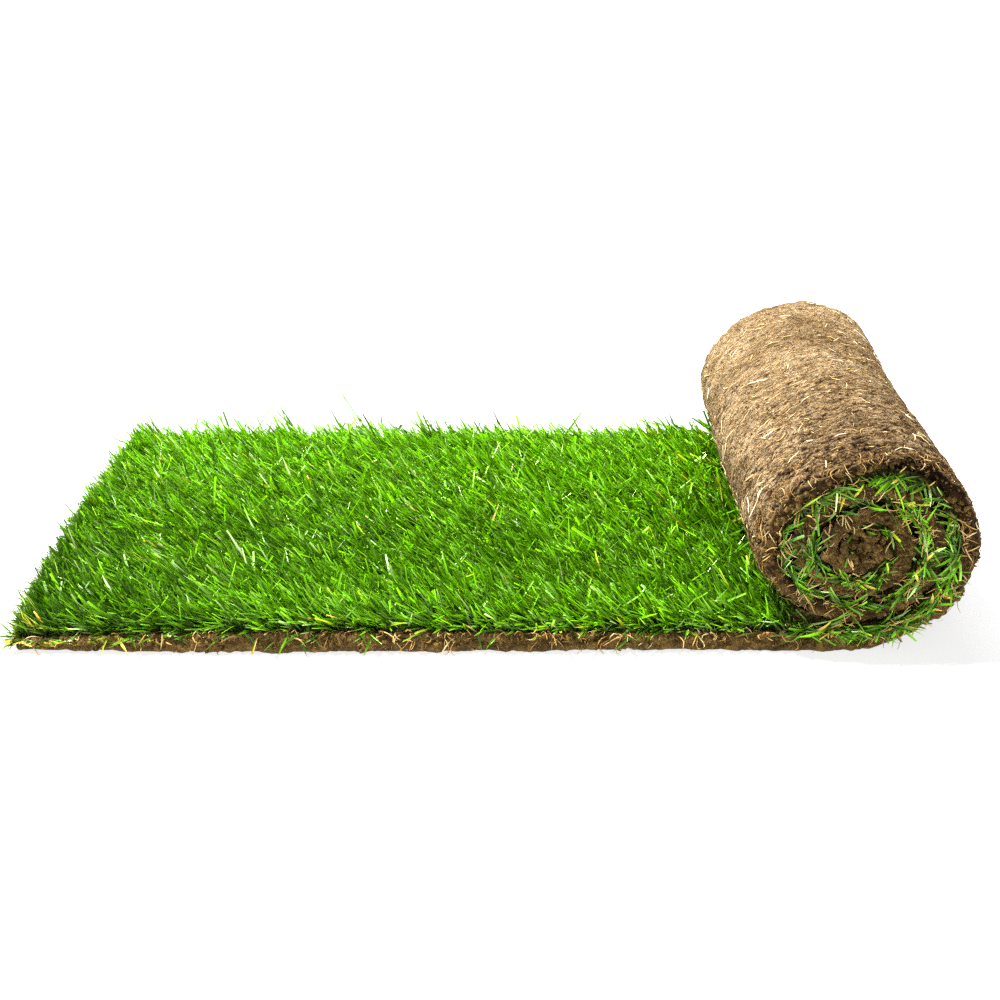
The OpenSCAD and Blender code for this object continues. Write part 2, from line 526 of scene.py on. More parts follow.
def worn(u, y):
    """How much is broken off the outer face close to its two ends."""
    return sum((1.2 + 5.5 * np.maximum(0, fbm(u / 19, seed=20 + side, octaves=3) + 0.12))
               * np.exp(-(np.maximum(d, 0) / 6.5) ** 1.6) for side, d in ((0, y), (1, WIDTH - y)))


def end_height(u, w, side, t):
    """How far the soil stands out of the plain end face, at one side of the strip."""
    s = 40 + side * 10
    r = w * SOIL
    h = 4.6 * (lumps(u / 17, r / 10, seed=s, octaves=3) - 0.42)
    h += 2.0 * fbm(u / 6, r / 4.5, seed=s + 1, octaves=3)
    h += 2.6 * fbm(u / 55, seed=s + 2, octaves=2)
    h -= 3.0 * np.abs(2 * w - 1) ** 3 * np.where((t <= 0) & (w < 0.5), 0.4, 1.0)
    h += (1 - rise(t / 40)) * (2.2 + 2.6 * np.exp(-((u + 434) / 154) ** 2)) * (1 if side == 0 else 0.6)
    if side == 0:
        h += 5.0 * np.exp(-((t - 205) / 60) ** 2) * (1 - 0.6 * w)
        h -= 11.0 * np.exp(-((t - 152) / 34) ** 2) * rise((w - 0.05) / 0.3) * (1 + 0.5 * fbm(u / 11, seed=78, octaves=2))
        h += 3.0 * np.exp(-((t - 195) / 80) ** 2) * fbm(u / 14, seed=77, octaves=2)
    return h


def soil_points(row, k, j):
    w = k / K
    u, t = along_u[row], wind_t[row]
    y = Y[j]
    base = outer_pts[row] * (1 - w)[:, None] + inner_pts[row] * w[:, None]
    n = outward[row]
    skin = skin_height(u, y, t) - worn(u, y)
    on_roll = rise((t - 4) / 30)
    skin = skin * on_roll
    flat_edge = (1 - on_roll) * -1.0 * (np.maximum(0, 3.4 * fbm(u / 70, seed=31, octaves=3) - 0.1)
                                        + 1.5 * np.exp(-((u + TAIL) / 40) ** 2))
    skin = skin + flat_edge * (np.exp(-(y / 9) ** 2) + np.exp(-((WIDTH - y) / 9) ** 2))
    inner = 1.3 * fbm(u / 26, y / 40, seed=9, octaves=3)
    shift = skin * (1 - w) ** 1.5 - inner * w ** 1.5
    p = np.empty((len(row), 3))
    p[:, [0, 2]] = base + n * shift[:, None]
    d0, d1 = end_height(u, w, 0, t), end_height(u, w, 1, t)
    reach0, reach1 = 7 + 1.4 * np.maximum(0, -d0), 7 + 1.4 * np.maximum(0, -d1)
    p[:, 1] = y - d0 * np.exp(-(y / reach0) ** 2) + d1 * np.exp(-((WIDTH - y) / reach1) ** 2)
    # the flat tail's cut end
    first = row == 0
    near = np.exp(-((u + TAIL) / 5.0) ** 2) * (row < N_FLAT)
    cut = 2.2 * (lumps(y / 14, w * 1.6, seed=71) - 0.4) + 1.2 * fbm(y / 5, w * 3, seed=72) - 2.0 * np.abs(2 * w - 1) ** 3
    p[:, 0] -= near * cut
    p[:, 2] = np.maximum(p[:, 2], 0.0)
    return p


def build_soil():
    vid = np.full((N_ROWS, K + 1, NJ + 1), -1, np.int64)
    faces = []

    def cols(i, inner):
        if i == 0:
            return fine_j
        if not inner and N_FLAT - 1 <= i and wind_t[i] <= 362:
            return fine_j
        return coarse_j

    quads, tris = [], []     # (row, k, j) triples as flat keys
    key = lambda r, k, j: (np.asarray(r) * (K + 1) + k) * (NJ + 1) + j

    def strip(i, k, flip):
        a, b = cols(i, k == K), cols(i + 1, k == K)
        if len(a) == len(b):
            q = np.stack([key(i, k, a[:-1]), key(i + 1, k, a[:-1]), key(i + 1, k, a[1:]), key(i, k, a[1:])], 1)
            quads.append(q[:, ::-1] if flip else q)
            return
        many, few, swap = (a, b, False) if len(a) > len(b) else (b, a, True)
        mr, fr = (i, i + 1) if not swap else (i + 1, i)
        out = []
        for p, q in zip(few[:-1], few[1:]):
            js = many[(many >= p) & (many <= q)]
            mid = js[len(js) // 2]
            for j0, j1 in zip(js[:-1], js[1:]):
                tip = p if j1 <= mid else q
                out.append((key(mr, k, j0), key(fr, k, tip), key(mr, k, j1)))
            out.append((key(fr, k, p), key(fr, k, q), key(mr, k, mid)))
        out = np.array(out)
        # made for many at i and few at i + 1
        tris.append(out[:, ::-1] if flip != swap else out)

    for i in range(N_ROWS - 1):
        strip(i, 0, True)
        strip(i, K, False)
    i, k = np.meshgrid(np.arange(N_ROWS - 1), np.arange(K), indexing="ij")
    i, k = i.ravel(), k.ravel()
    for j, flip in ((0, False), (NJ, True)):
        q = np.stack([key(i, k, j), key(i + 1, k, j), key(i + 1, k + 1, j), key(i, k + 1, j)], 1)
        quads.append(q[:, ::-1] if flip else q)
    caps_from = None
    for r, js, flip in ((0, fine_j, False), (N_ROWS - 1, coarse_j, True)):
        k2, a = np.meshgrid(np.arange(K), np.arange(len(js) - 1), indexing="ij")
        k2, a = k2.ravel(), a.ravel()
        q = np.stack([key(r, k2, js[a]), key(r, k2 + 1, js[a]), key(r, k2 + 1, js[a + 1]), key(r, k2, js[a + 1])], 1)
        quads.append(q[:, ::-1] if flip else q)
    # a strip's faces are outer or inner skin; the rest are cut edges
    kinds = []
    n_strip = 2 * (N_ROWS - 1)
    q_all, q_kind, made = [], [], 0
    quad_src = quads
    quads_arr = np.concatenate(quads)
    tris_arr = np.concatenate(tris)
    keys, inv = np.unique(np.concatenate([quads_arr.ravel(), tris_arr.ravel()]), return_inverse=True)
    j = keys % (NJ + 1)
    k = keys // (NJ + 1) % (K + 1)
    row = keys // ((NJ + 1) * (K + 1))
    pts = soil_points(row, k, j)
    nq = len(quads_arr) * 4
    fq, ft = inv[:nq].reshape(-1, 4), inv[nq:].reshape(-1, 3)
    # material and maps by corner
    loops = np.concatenate([fq.ravel(), ft.ravel()])
    counts = np.concatenate([np.full(len(fq), 4), np.full(len(ft), 3)])
    starts = np.concatenate([[0], np.cumsum(counts)[:-1]])

    def face_all(cond):
        return np.minimum.reduceat(cond[loops].astype(int), starts).astype(bool)

    outer_f, inner_f = face_all(k == 0), face_all(k == K)
    front_f, back_f = face_all(j == 0), face_all(j == NJ)
    skin_f = outer_f & ~front_f & ~back_f
    mat = np.where(skin_f, 0, 1)
    u, y, w = along_u[row], Y[j], k / K
    strip_uv = np.stack([u / 1000, y / 1000], 1)[loops]
    # the map for baking: outer skin, inner skin and the two cut edges, each in a band of its own
    full = np.ptp(u)
    us = (u - u.min()) / full
    on = np.repeat(np.arange(len(counts)), counts)
    bake = np.zeros((len(loops), 2))
    ul, yl, wl = us[loops], (y / WIDTH)[loops], w[loops]
    # the outer skin takes the band from 0.02 to 0.44 of the map
    bake[:, 0] = ul
    bake[:, 1] = 0.02 + 0.42 * yl
    m_in = inner_f[on] & ~skin_f[on]
    bake[m_in, 1] = 0.46 + 0.24 * yl[m_in]
    m_f = front_f[on]
    bake[m_f, 1] = 0.72 + 0.11 * wl[m_f]
    m_b = back_f[on]
    bake[m_b, 1] = 0.85 + 0.11 * wl[m_b]
    ends = face_all(row == 0)[on] & ~m_f & ~m_b & ~skin_f[on] & ~m_in
    bake[ends, 0] = yl[ends]
    bake[ends, 1] = 0.965 + 0.03 * wl[ends]
    ends = face_all(row == N_ROWS - 1)[on] & ~m_f & ~m_b & ~skin_f[on] & ~m_in
    bake[ends, 0] = yl[ends] * 0.5
    bake[ends, 1] = 0.001 + 0.015 * wl[ends]
    cut_uv = np.stack([u / 1000, w], 1)[loops]
    # hollows are near 0 and the tops of lumps near 1; the materials paint shade into the hollows and light onto the
    # tops from this, more strongly towards the front of the skin
    near = 0.45 + 0.55 * np.exp(-(y / 170) ** 2)
    hollow = 0.5 + 0.21 * near * skin_relief(u, y)
    faces = [4.6 * (lumps(u / 17, w * SOIL / 10, seed=40 + 10 * e, octaves=3) - 0.42)
             + 2.0 * fbm(u / 6, w * SOIL / 4.5, seed=41 + 10 * e, octaves=3) for e in (0, 1)]
    relief = np.stack([hollow, hollow], 1)[loops]
    relief[m_f, 0] = (0.5 + 0.17 * faces[0])[loops][m_f]
    relief[m_b, 0] = (0.5 + 0.17 * faces[1])[loops][m_b]
    ob = mesh_object("soil_strip", pts, loops, counts, [M_SKIN, M_CUT], mat,
                     {"strip": strip_uv, "cut": cut_uv, "relief": relief, "OFBake": bake})
    return ob


soil = build_soil()
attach(soil, "root")
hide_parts("soil_mat")


# ---------------------------------------------------------------- thatch
def build_thatch():
    """The matted bases of the grass: a thin layer on the tail, and what fills the gap between the turns."""
    t = T_ROWS[::3]
    inner = at(t, r_out(t) - SOIL + 0.6)
    t_c = 318.0
    back_t = np.arange(WIND, t_c, -3.0)
    upper = at(back_t, r_out(back_t) + 0.6)
    xs = np.linspace(-TAIL + 5, -4, 60)
    lower_flat = np.stack([xs, 0 * xs + SOIL - 0.8], 1)
    xe = upper[-1, 0]
    xs2 = np.linspace(xe - 8, -TAIL + 6, 60)
    top_flat = np.stack([xs2, SOIL + 3.2 + 1.6 * fbm(xs2 / 12, seed=5)], 1)
    ring = np.concatenate([lower_flat, inner, upper, top_flat])
    n = len(ring)
    ys = np.array([7.5, 10, 16, 60, 130, 200, 270, 340, 384, 390, 392.5])
    pts = np.concatenate([np.stack([ring[:, 0], np.full(n, y), ring[:, 1]], 1) for y in ys])
    pts[:, 1] += np.where(pts[:, 1] < 9, 2.0 * noise(pts[:, 0] / 9, pts[:, 2] / 9, seed=6), 0)
    i = np.arange(n)
    i2 = (i + 1) % n
    q = [np.stack([a * n + i, (a + 1) * n + i, (a + 1) * n + i2, a * n + i2], 1) for a in range(len(ys) - 1)]
    q = np.concatenate(q)[:, ::-1]
    loops = np.concatenate([q.ravel(), i[::-1] if False else i, (len(ys) - 1) * n + i[::-1]])
    counts = np.concatenate([np.full(len(q), 4), [n, n]])
    return mesh_object("grass_thatch", pts, loops, counts, [M_THATCH], smooth=False)


thatch = build_thatch()
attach(thatch, "root")


# ---------------------------------------------------------------- blades
def unit(v):
    return v / np.maximum(np.linalg.norm(v, axis=-1, keepdims=True), 1e-9)


def blade_points(root, start_dir, end_dir, length, width, face_dir, twist, seg, bend_at=0.5):
    """Centre line, width vector, normal and half width at seg + 1 stations along each blade."""
    n = len(root)
    s = np.linspace(0, 1, seg + 1)
    fine = np.linspace(0, 1, 13)
    f = rise((fine - bend_at + 0.45) / 0.9)[None, :, None]
    d = unit(start_dir[:, None] * (1 - f) + end_dir[:, None] * f)
    step = (d[:, 1:] + d[:, :-1]) / 2 * (length[:, None, None] / 12)
    line = np.concatenate([np.zeros((n, 1, 3)), np.cumsum(step, 1)], 1) + root[:, None]
    at_s = (s * 12).round().astype(int)
    centre, d = line[:, at_s], d[:, at_s]
    side = unit(np.cross(d, face_dir[:, None]))
    normal = np.cross(side, d)
    ang = twist[:, None] * (s[None] - 0.2)
    side = side * np.cos(ang)[..., None] + normal * np.sin(ang)[..., None]
    profile = np.interp(s, [0, 0.25, 0.5, 0.75, 1.0], [0.75, 0.95, 1.0, 0.85, 0.5])
    half = width[:, None] / 2 * profile[None]
    return centre, side, np.cross(side, d), half


def blades_object(name, root, start_dir, end_dir, length, width, face_dir, twist, column, limit=None,
                  bend_at=0.5, seg=2, tip=None, v_from=0.0):
    """Blades folded along their middle, with a left edge, a keel and a right edge; a tip of 0 is a sharp point."""
    centre, side, normal, half = blade_points(root, start_dir, end_dir, length, width, face_dir, twist, seg, bend_at)
    half[:, seg] = width / 2 * tip
    if limit is not None:
        centre = limit(centre)
    parts, first = [], 0
    for pointed in (False, True):
        pick = (tip < 0.05) == pointed
        c, sd, nm, hf, col = centre[pick], side[pick], normal[pick], half[pick], column[pick]
        n = len(c)
        m = 3 * (seg + 1) - (2 if pointed else 0)
        pts = np.empty((n, 3 * (seg + 1), 3))
        pts[:, 0::3] = c - sd * hf[..., None]
        pts[:, 1::3] = c - nm * (0.55 * hf)[..., None]
        pts[:, 2::3] = c + sd * hf[..., None]
        pts = pts[:, :m]
        pts[..., 2] = np.maximum(pts[..., 2], 0.4)
        faces = [[3 * a + e, 3 * a + e + 1, 3 * a + e + 4, 3 * a + e + 3] for a in range(seg) for e in (0, 1)]
        if pointed:
            faces = faces[:-2] + [[3 * seg - 3, 3 * seg - 2, 3 * seg], [3 * seg - 2, 3 * seg - 1, 3 * seg]]
        pattern = np.concatenate(faces)
        loops = ((first + np.arange(n) * m)[:, None] + pattern[None]).ravel()
        counts = np.tile([len(f) for f in faces], n)
        # v_from above 0 starts the blade map past the darkest part of the painted root shade
        vv = np.repeat(np.linspace(v_from, 1, seg + 1), 3)[:m][pattern]
        uu = np.tile([-0.3, 0.0, 0.3], seg + 1)[:m]
        if pointed:
            uu[-1] = 0.0
        uv = np.stack([(col[:, None] + 0.5 + uu[pattern][None]) / COLUMNS,
                       np.broadcast_to(0.01 + 0.98 * vv, (n, len(vv)))], -1)
        parts.append((pts.reshape(-1, 3), loops, counts, uv.reshape(-1, 2)))
        first += n * m
    pts, loops, counts, uv = (np.concatenate([q[k] for q in parts]) for k in range(4))
    return mesh_object(name, pts, loops, counts, [M_BLADE], None, {"blade": uv, "OFBake": uv}, smooth=False)


def spread_column(rng, n, shade):
    """Picks each blade's kind. shade from -1 (deep) to 1 (bright)."""
    pick = rng.random(n)
    col = np.clip(0.34 + 0.17 * shade + rng.normal(0, 0.19, n), 0, 0.69)
    # a few blades take the pale kinds: partly the paler backs of blades, partly painted highlight
    col = np.where(pick > 0.958, rng.uniform(0.70, 0.84, n), col)
    col = np.where(pick > 0.988, rng.uniform(0.84, 0.90, n), col)
    col = np.where(pick > 0.9985, rng.uniform(0.92, 0.99, n), col)
    return col


def off_the_roll(p):
    """Keeps blades out of the roll that lies against them."""
    x, z = p[..., 0], p[..., 2]
    t = np.degrees(np.arctan2(x, CORE_Z - z)) % 360
    r = np.hypot(x, CORE_Z - z)
    least = r_out(np.maximum(t, 200)) + 2.2
    inside = (r < least) & (t > 200)
    k = np.where(inside, least / np.maximum(r, 1e-6), 1.0)
    q = p.copy()
    q[..., 0] = x * k
    q[..., 2] = CORE_Z - (CORE_Z - z) * k
    low = q[..., 2] < SOIL + 0.5
    q[..., 2] = np.where(low & inside, SOIL + 0.5, q[..., 2])
    return q


def inside_box(p):
    q = p.copy()
    q[..., 0] = np.maximum(q[..., 0], -TAIL - 24)
    q[..., 1] = np.clip(q[..., 1], -17, WIDTH + 17)
    return q


def lawn():
    rng = np.random.default_rng(5)
    total = 63500
    x1 = -30.0
    area = (x1 + TAIL) * WIDTH
    cell = math.sqrt(area / total)
    nx, ny = int((x1 + TAIL) / cell), int(WIDTH / cell)
    gx, gy = np.meshgrid(np.arange(nx), np.arange(ny), indexing="ij")
    n = gx.size
    x = -TAIL + 4.0 + (gx.ravel() + rng.random(n)) * (x1 + TAIL - 4.0) / nx
    y = 1.0 + (gy.ravel() + rng.random(n)) * (WIDTH - 2.0) / ny
    # growing in tufts, with narrow gaps between them
    x += 2.4 * noise(x / 7, y / 7, seed=54)
    y += 2.4 * noise(x / 7, y / 7, seed=55)
    x, y = np.clip(x, -TAIL + 2, x1), np.clip(y, 0.8, WIDTH - 0.8)
    root = np.stack([x, y, np.full(n, SOIL - 1.0)], 1)
    swirl = fbm(x / 120, y / 120, seed=50, octaves=2)
    tuft = fbm(x / 12, y / 12, seed=51, octaves=2)
    az = math.pi - 0.12 + 0.30 * rise(y / 160) + 0.6 * swirl + 0.9 * tuft + rng.normal(0, 0.50, n)
    loose = rng.random(n) < 0.12
    az = np.where(loose, rng.uniform(0, 2 * math.pi, n), az)
    d_front, d_back, d_left = y, WIDTH - y, x + TAIL
    tilt = np.radians(np.clip(43 + 6 * rise(y / 120) + 18 * fbm(x / 34, y / 34, seed=52, octaves=2) + rng.normal(0, 13, n), 3, 74))
    over = tilt + np.radians(np.clip(rng.normal(13, 12, n), -8, 60))
    upright = np.maximum(0.08 + 0.92 * rise(d_left / 36), 0.60 * np.random.default_rng(6).random(n) ** 2)
    tilt, over = tilt * upright, over * upright
    lean0 = np.stack([np.cos(az), np.sin(az)], 1)
    lean1 = lean0.copy()
    # along the edges some hang outwards
    edge = np.zeros(n)
    for d, out, reach, share in ((d_front, (0, -1), 6.0, 0.8), (d_back, (0, 1), 6.0, 0.75), (d_left, (-1, 0), 5.0, 0.45)):
        hang = np.exp(-(d / reach) ** 2) * rng.uniform(0.0, 1.0, n) * share
        lean1 = lean1 * (1 - hang)[:, None] + np.array(out)[None] * hang[:, None]
        edge = np.maximum(edge, hang)
    lean1 = unit(lean1)
    droop = rng.random(n) < 0.48
    over = over + np.radians(62) * edge * droop
    d0 = np.concatenate([lean0 * np.sin(tilt)[:, None], np.cos(tilt)[:, None]], 1)
    d1 = np.concatenate([lean1 * np.sin(over)[:, None], np.cos(over)[:, None]], 1)
    length = np.clip(rng.normal(27.5, 6.0, n), 11, 44) * (1 + 0.22 * tuft)
    length = np.where(rng.random(n) < 0.04, length * 1.25, length)
    near_roll = np.exp(-np.maximum(0, (-x - 30) / 26.0) ** 2)
    length = length * (1 - 0.45 * near_roll * (1 - rise((y - 290) / 90))) * (1 - 0.30 * edge)
    length = length * (1 + 0.30 * rise((x + 130) / 90) * rise((y - 375) / 15))
    length = length * (0.70 + 0.30 * rise(d_left / 32)) * (0.78 + 0.22 * rise(d_front / 10))
    length = length * (1 + np.exp(-(d_back / 14) ** 2) * np.clip(0.14 + 1.1 * fbm(x / 17, seed=56, octaves=3), -0.25, 0.42))
    spike = (rng.random(n) < 0.05) & (d_back < 12)
    length = np.where(spike, length * 1.35, length)
    d1[spike] = unit(d1[spike] + np.array([0.0, 0.2, 1.2]))
    width = np.clip(rng.normal(1.95, 0.42, n), 0.9, 3.0)
    face = unit(rng.normal(size=(n, 3)) * 0.75 + np.concatenate([-lean0, np.full((n, 1), 1.0)], 1))
    twist = rng.normal(0, 0.7, n)
    # the blades' kinds vary in patches and tufts, and grow brighter towards the back as painted light from behind
    shade = 0.6 * fbm(x / 55, y / 55, seed=53, octaves=2) + 1.3 * (y / WIDTH - 0.36) + 0.5 * tuft
    shade -= np.exp(-(y / 130) ** 2) * (0.62 * np.exp(-(d_left / 110) ** 2) + 0.25 * np.exp(-((x + 30) / 90) ** 2))
    # painted shadow of the roll: the blades beside it get deeper kinds, more so towards the back
    shade -= (0.3 + 0.85 * rise((y - 40) / 120)) * np.exp(-((x + 40) / (34 + 26 * y / WIDTH)) ** 2)
    # brighter along the front, deeper in from the cut end and left of the middle
    shade += 1.0 * np.exp(-(y / 34) ** 2) * rise((d_left - 60) / 150)
    shade -= 0.35 * np.exp(-(d_left / 60) ** 2) + 0.42 * np.exp(-((y - 140) / 85) ** 2) * np.exp(-((x + 450) / 240) ** 2)
    col = spread_column(rng, n, shade)
    corner = np.exp(-((d_front + 0.25 * d_left) / 9) ** 2)
    yellow = rng.random(n) < (0.11 * np.exp(-((x + 62) / 34) ** 2) * rise((y - 120) / 200)
                              + 0.05 * np.exp(-(y / 5) ** 2) + 0.55 * corner)
    col = np.where(yellow, rng.uniform(0.84, 0.985, n), col)
    col = np.floor(col * COLUMNS)
    tip = np.where(rng.random(n) < 0.40, rng.uniform(0.35, 0.85, n), 0.0)     # mown, or grown to a point
    order = np.argsort(x)
    made = []
    for i, part in enumerate(np.array_split(order, 3)):
        made.append(blades_object(f"lawn_blades_{'abc'[i]}", root[part], d0[part], d1[part], length[part], width[part],
                                  face[part], twist[part], col[part],
                                  limit=lambda p: inside_box(off_the_roll(p)), seg=2, tip=tip[part]))
    return made


def in_the_gap(rng, t_from, side, per_mm, drift, lower_right_share):
    """Places between the turns of the roll at one end: winding angle, point in the section, axes."""
    t_all = np.arange(t_from, WIND - 8, 0.5)
    tt = np.maximum(t_all, 0)
    seg = np.radians(0.5) * (r_out(tt) - SOIL - PRESSED / 2)
    arc = np.cumsum(seg)
    tuft = np.clip(0.50 + 2.9 * fbm(arc / 13, seed=drift + side, octaves=2), 0.03, 2.2)
    lower_right = np.exp(-((t_all - 48) / 34) ** 2)
    top = np.exp(-((t_all % 360 - 185) / 62) ** 2)
    weight = seg * (tuft + lower_right_share * lower_right) * np.where(t_all > 900, 0.25, np.where(t_all > 720, 0.9, np.where(t_all > 380, 1.3, 1.0))) * (1 - 0.55 * top)
    n = int(per_mm * seg.sum())
    t = rng.choice(t_all, n, p=weight / weight.sum()) + rng.uniform(-0.25, 0.25, n)
    tc = np.maximum(t, 0)
    p = at(tc, r_out(tc) - SOIL - rng.uniform(-0.5, PRESSED * 0.8, n))
    p[t < 0, 0] = t[t < 0] * 1.45
    a = np.radians(tc)
    tangent = np.stack([np.cos(a), np.sin(a)], 1)
    inward = np.stack([-np.sin(a), np.cos(a)], 1)
    return n, tc, p, tangent, inward


def end_tufts(name, side, seed, per_mm):
    """Grass squeezed out of the gap between the turns at one end of the roll."""
    rng = np.random.default_rng(seed)
    n, tc, p, tangent, inward = in_the_gap(rng, -30, side, per_mm, 60, 0.7)
    depth = rng.uniform(-2.0, 7.0, n)
    yy = depth if side == 0 else WIDTH - depth
    out = -1.0 if side == 0 else 1.0
    root = np.stack([p[:, 0], yy, p[:, 1]], 1)
    # neighbours lie much the same way
    flow = fbm(tc * 0.9, seed=66 + side, octaves=1)
    go = np.where(rng.random(n) < 0.5 + 0.9 * flow, 1.0, -1.0) * rng.uniform(0.35, 1.0, n)
    inw = rng.normal(0.0, 0.40, n) + 0.75 * ((tc > 78) & (tc < 345))
    low = np.exp(-((tc - 48) / 32) ** 2) * (tc > 0)
    inw = inw - 0.40 * low * rng.random(n)
    v0 = tangent * (go * 0.9)[:, None] + inward * (inw * 0.5)[:, None]
    v1 = tangent * go[:, None] + inward * inw[:, None]
    push0, push1 = rng.uniform(0.25, 0.9, n), rng.uniform(-0.30, 0.30, n)
    d0 = unit(np.stack([v0[:, 0], out * push0, v0[:, 1]], 1))
    d1 = unit(np.stack([v1[:, 0], out * push1, v1[:, 1] - 0.15], 1))
    length = np.clip(rng.normal(15.0, 5.0, n), 6, 32) * np.where(tc < 400, 1.12, 0.95) * (1 - 0.22 * low)
    length = length * np.where(tc > 720, 0.8, 1.0)
    width = np.clip(rng.normal(1.72, 0.40, n), 0.9, 2.8)
    face = unit(np.stack([rng.normal(0, 0.6, n), np.full(n, out), rng.normal(0.35, 0.6, n)], 1))
    twist = rng.normal(0, 0.7, n)
    col = spread_column(rng, n, -0.15 + 0.8 * rng.normal(size=n))
    col = np.floor(np.where(rng.random(n) < 0.09, rng.uniform(0.86, 0.99, n), col) * COLUMNS)
    tip = np.where(rng.random(n) < 0.45, rng.uniform(0.5, 0.9, n), 0.0)

    def limit(q):
        q = q.copy()
        q[..., 1] = np.clip(q[..., 1], -17, WIDTH + 17)
        q[..., 2] = np.maximum(q[..., 2], floor_z[:, None])
        return q

    floor_z = rng.uniform(3, 10, n)
    return blades_object(name, root, d0, d1, length, width, face, twist, col, limit=limit, bend_at=0.42, seg=3, tip=tip,
                         v_from=0.34)


def hanging_blades():
    """A few longer blades that hang over the cut edges, down to the floor."""
    rng = np.random.default_rng(27)
    n = 440
    place = rng.choice(3, n, p=[0.18, 0.22, 0.60])      # front, back, end of the tail
    place[:14] = 0
    place[120:] = rng.choice(3, n - 120, p=[0.70, 0.12, 0.18])
    fringe = np.arange(n) >= 120
    along = rng.random(n)
    # the fringe is thickest at the tail's cut end, and at its front corner
    along[120:] = np.where(place[120:] == 2, 0.16 * along[120:] ** 1.5, 0.24 * along[120:] ** 1.8)
    short = np.where(fringe, 0.62, 1.0)
    x, y = -TAIL + 1 + along * (TAIL + 24), along * WIDTH
    x[:14] = -440 + rng.normal(0, 26, 14)
    out = np.array([[0.0, -1.0], [0.0, 1.0], [-1.0, 0.0]])[place]
    side = np.array([[1.0, 0.0], [1.0, 0.0], [0.0, 1.0]])[place]
    x = np.where(place == 2, -TAIL + 1.0, x)
    y = np.where(place == 0, 0.5, np.where(place == 1, WIDTH - 0.5, y))
    root = np.stack([x, y, SOIL + rng.uniform(-2.5, 0.5, n) - fringe * rng.uniform(0, 3.5, n)], 1)
    lie = np.where(place == 2, 0.0, -0.5) + rng.normal(0, 1.1, n)
    lie = np.where(fringe, np.where(rng.random(n) < 0.5, -1, 1) * rng.uniform(0.8, 2.2, n), lie)
    push0, push1 = rng.uniform(0.5, 1.0, n), rng.uniform(0.1, 0.6, n) * np.where(fringe, 0.4, 1.0)
    fall = rng.uniform(0.5, 1.3, n) * np.where(fringe, 0.45, 1.0)
    d0 = unit(np.concatenate([side * lie[:, None] + out * push0[:, None], rng.uniform(-0.3, 0.5, n)[:, None]], 1))
    d1 = unit(np.concatenate([side * 1.1 * lie[:, None] + out * push1[:, None], -fall[:, None]], 1))
    face = unit(np.concatenate([out + rng.normal(0, 0.4, (n, 2)), rng.uniform(0.3, 1.2, n)[:, None]], 1))
    dead = rng.random(n) < np.where(fringe, 0.52, 0.25)
    col = np.floor(np.where(dead, rng.uniform(0.86, 0.995, n), rng.uniform(0.05, 0.55, n)) * COLUMNS)

    def limit(q):
        q = q.copy()
        q[..., 0] = np.maximum(q[..., 0], -TAIL - 18)
        q[..., 1] = np.clip(q[..., 1], -18, WIDTH + 18)
        return q

    return blades_object("hanging_blades", root, d0, d1, rng.uniform(13, 32, n) * np.where(place == 2, 0.6, short),
                         rng.uniform(1.2, 2.2, n), face, rng.normal(0, 0.5, n), col, limit=limit, bend_at=0.45,
                         seg=3, tip=np.zeros(n), v_from=0.3)


def end_fringe():
    """Short blades that lean out over the tail's cut end."""
    rng = np.random.default_rng(33)
    n = 1400
    root = np.stack([-TAIL + rng.uniform(0.3, 11.0, n), rng.uniform(1, WIDTH - 1, n), SOIL - 1.2 + rng.uniform(-0.5, 0.5, n)], 1)
    lie = rng.normal(0, 0.6, n)
    d0 = unit(np.stack([-rng.uniform(0.1, 0.8, n), lie, rng.uniform(0.6, 1.4, n)], 1))
    d1 = unit(np.stack([-rng.uniform(0.2, 1.1, n), lie * 1.2, rng.uniform(-0.8, 1.1, n)], 1))
    face = unit(np.stack([-1 + rng.normal(0, 0.4, n), rng.normal(0, 0.5, n), rng.uniform(0.3, 1.2, n)], 1))
    col = np.floor(np.where(rng.random(n) < 0.12, rng.uniform(0.86, 0.99, n), rng.uniform(0.02, 0.56, n)) * COLUMNS)

    def limit(q):
        q = q.copy()
        q[..., 0] = np.maximum(q[..., 0], -TAIL - 15)
        return q

    return blades_object("end_fringe", root, d0, d1, 9 + 16 * rng.random(n) ** 1.2, rng.uniform(1.2, 2.2, n), face,
                         rng.normal(0, 0.5, n), col, limit=limit, bend_at=0.5, seg=2, tip=np.zeros(n), v_from=0.15)


pieces = lawn()
pieces.append(hanging_blades())
pieces.append(end_fringe())
pieces.append(end_tufts("end_tufts_front", 0, 21, 1.22))
pieces.append(end_tufts("end_tufts_back", 1, 22, 1.22))
for p in pieces:
    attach(p, "root")
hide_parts("grass_sward")


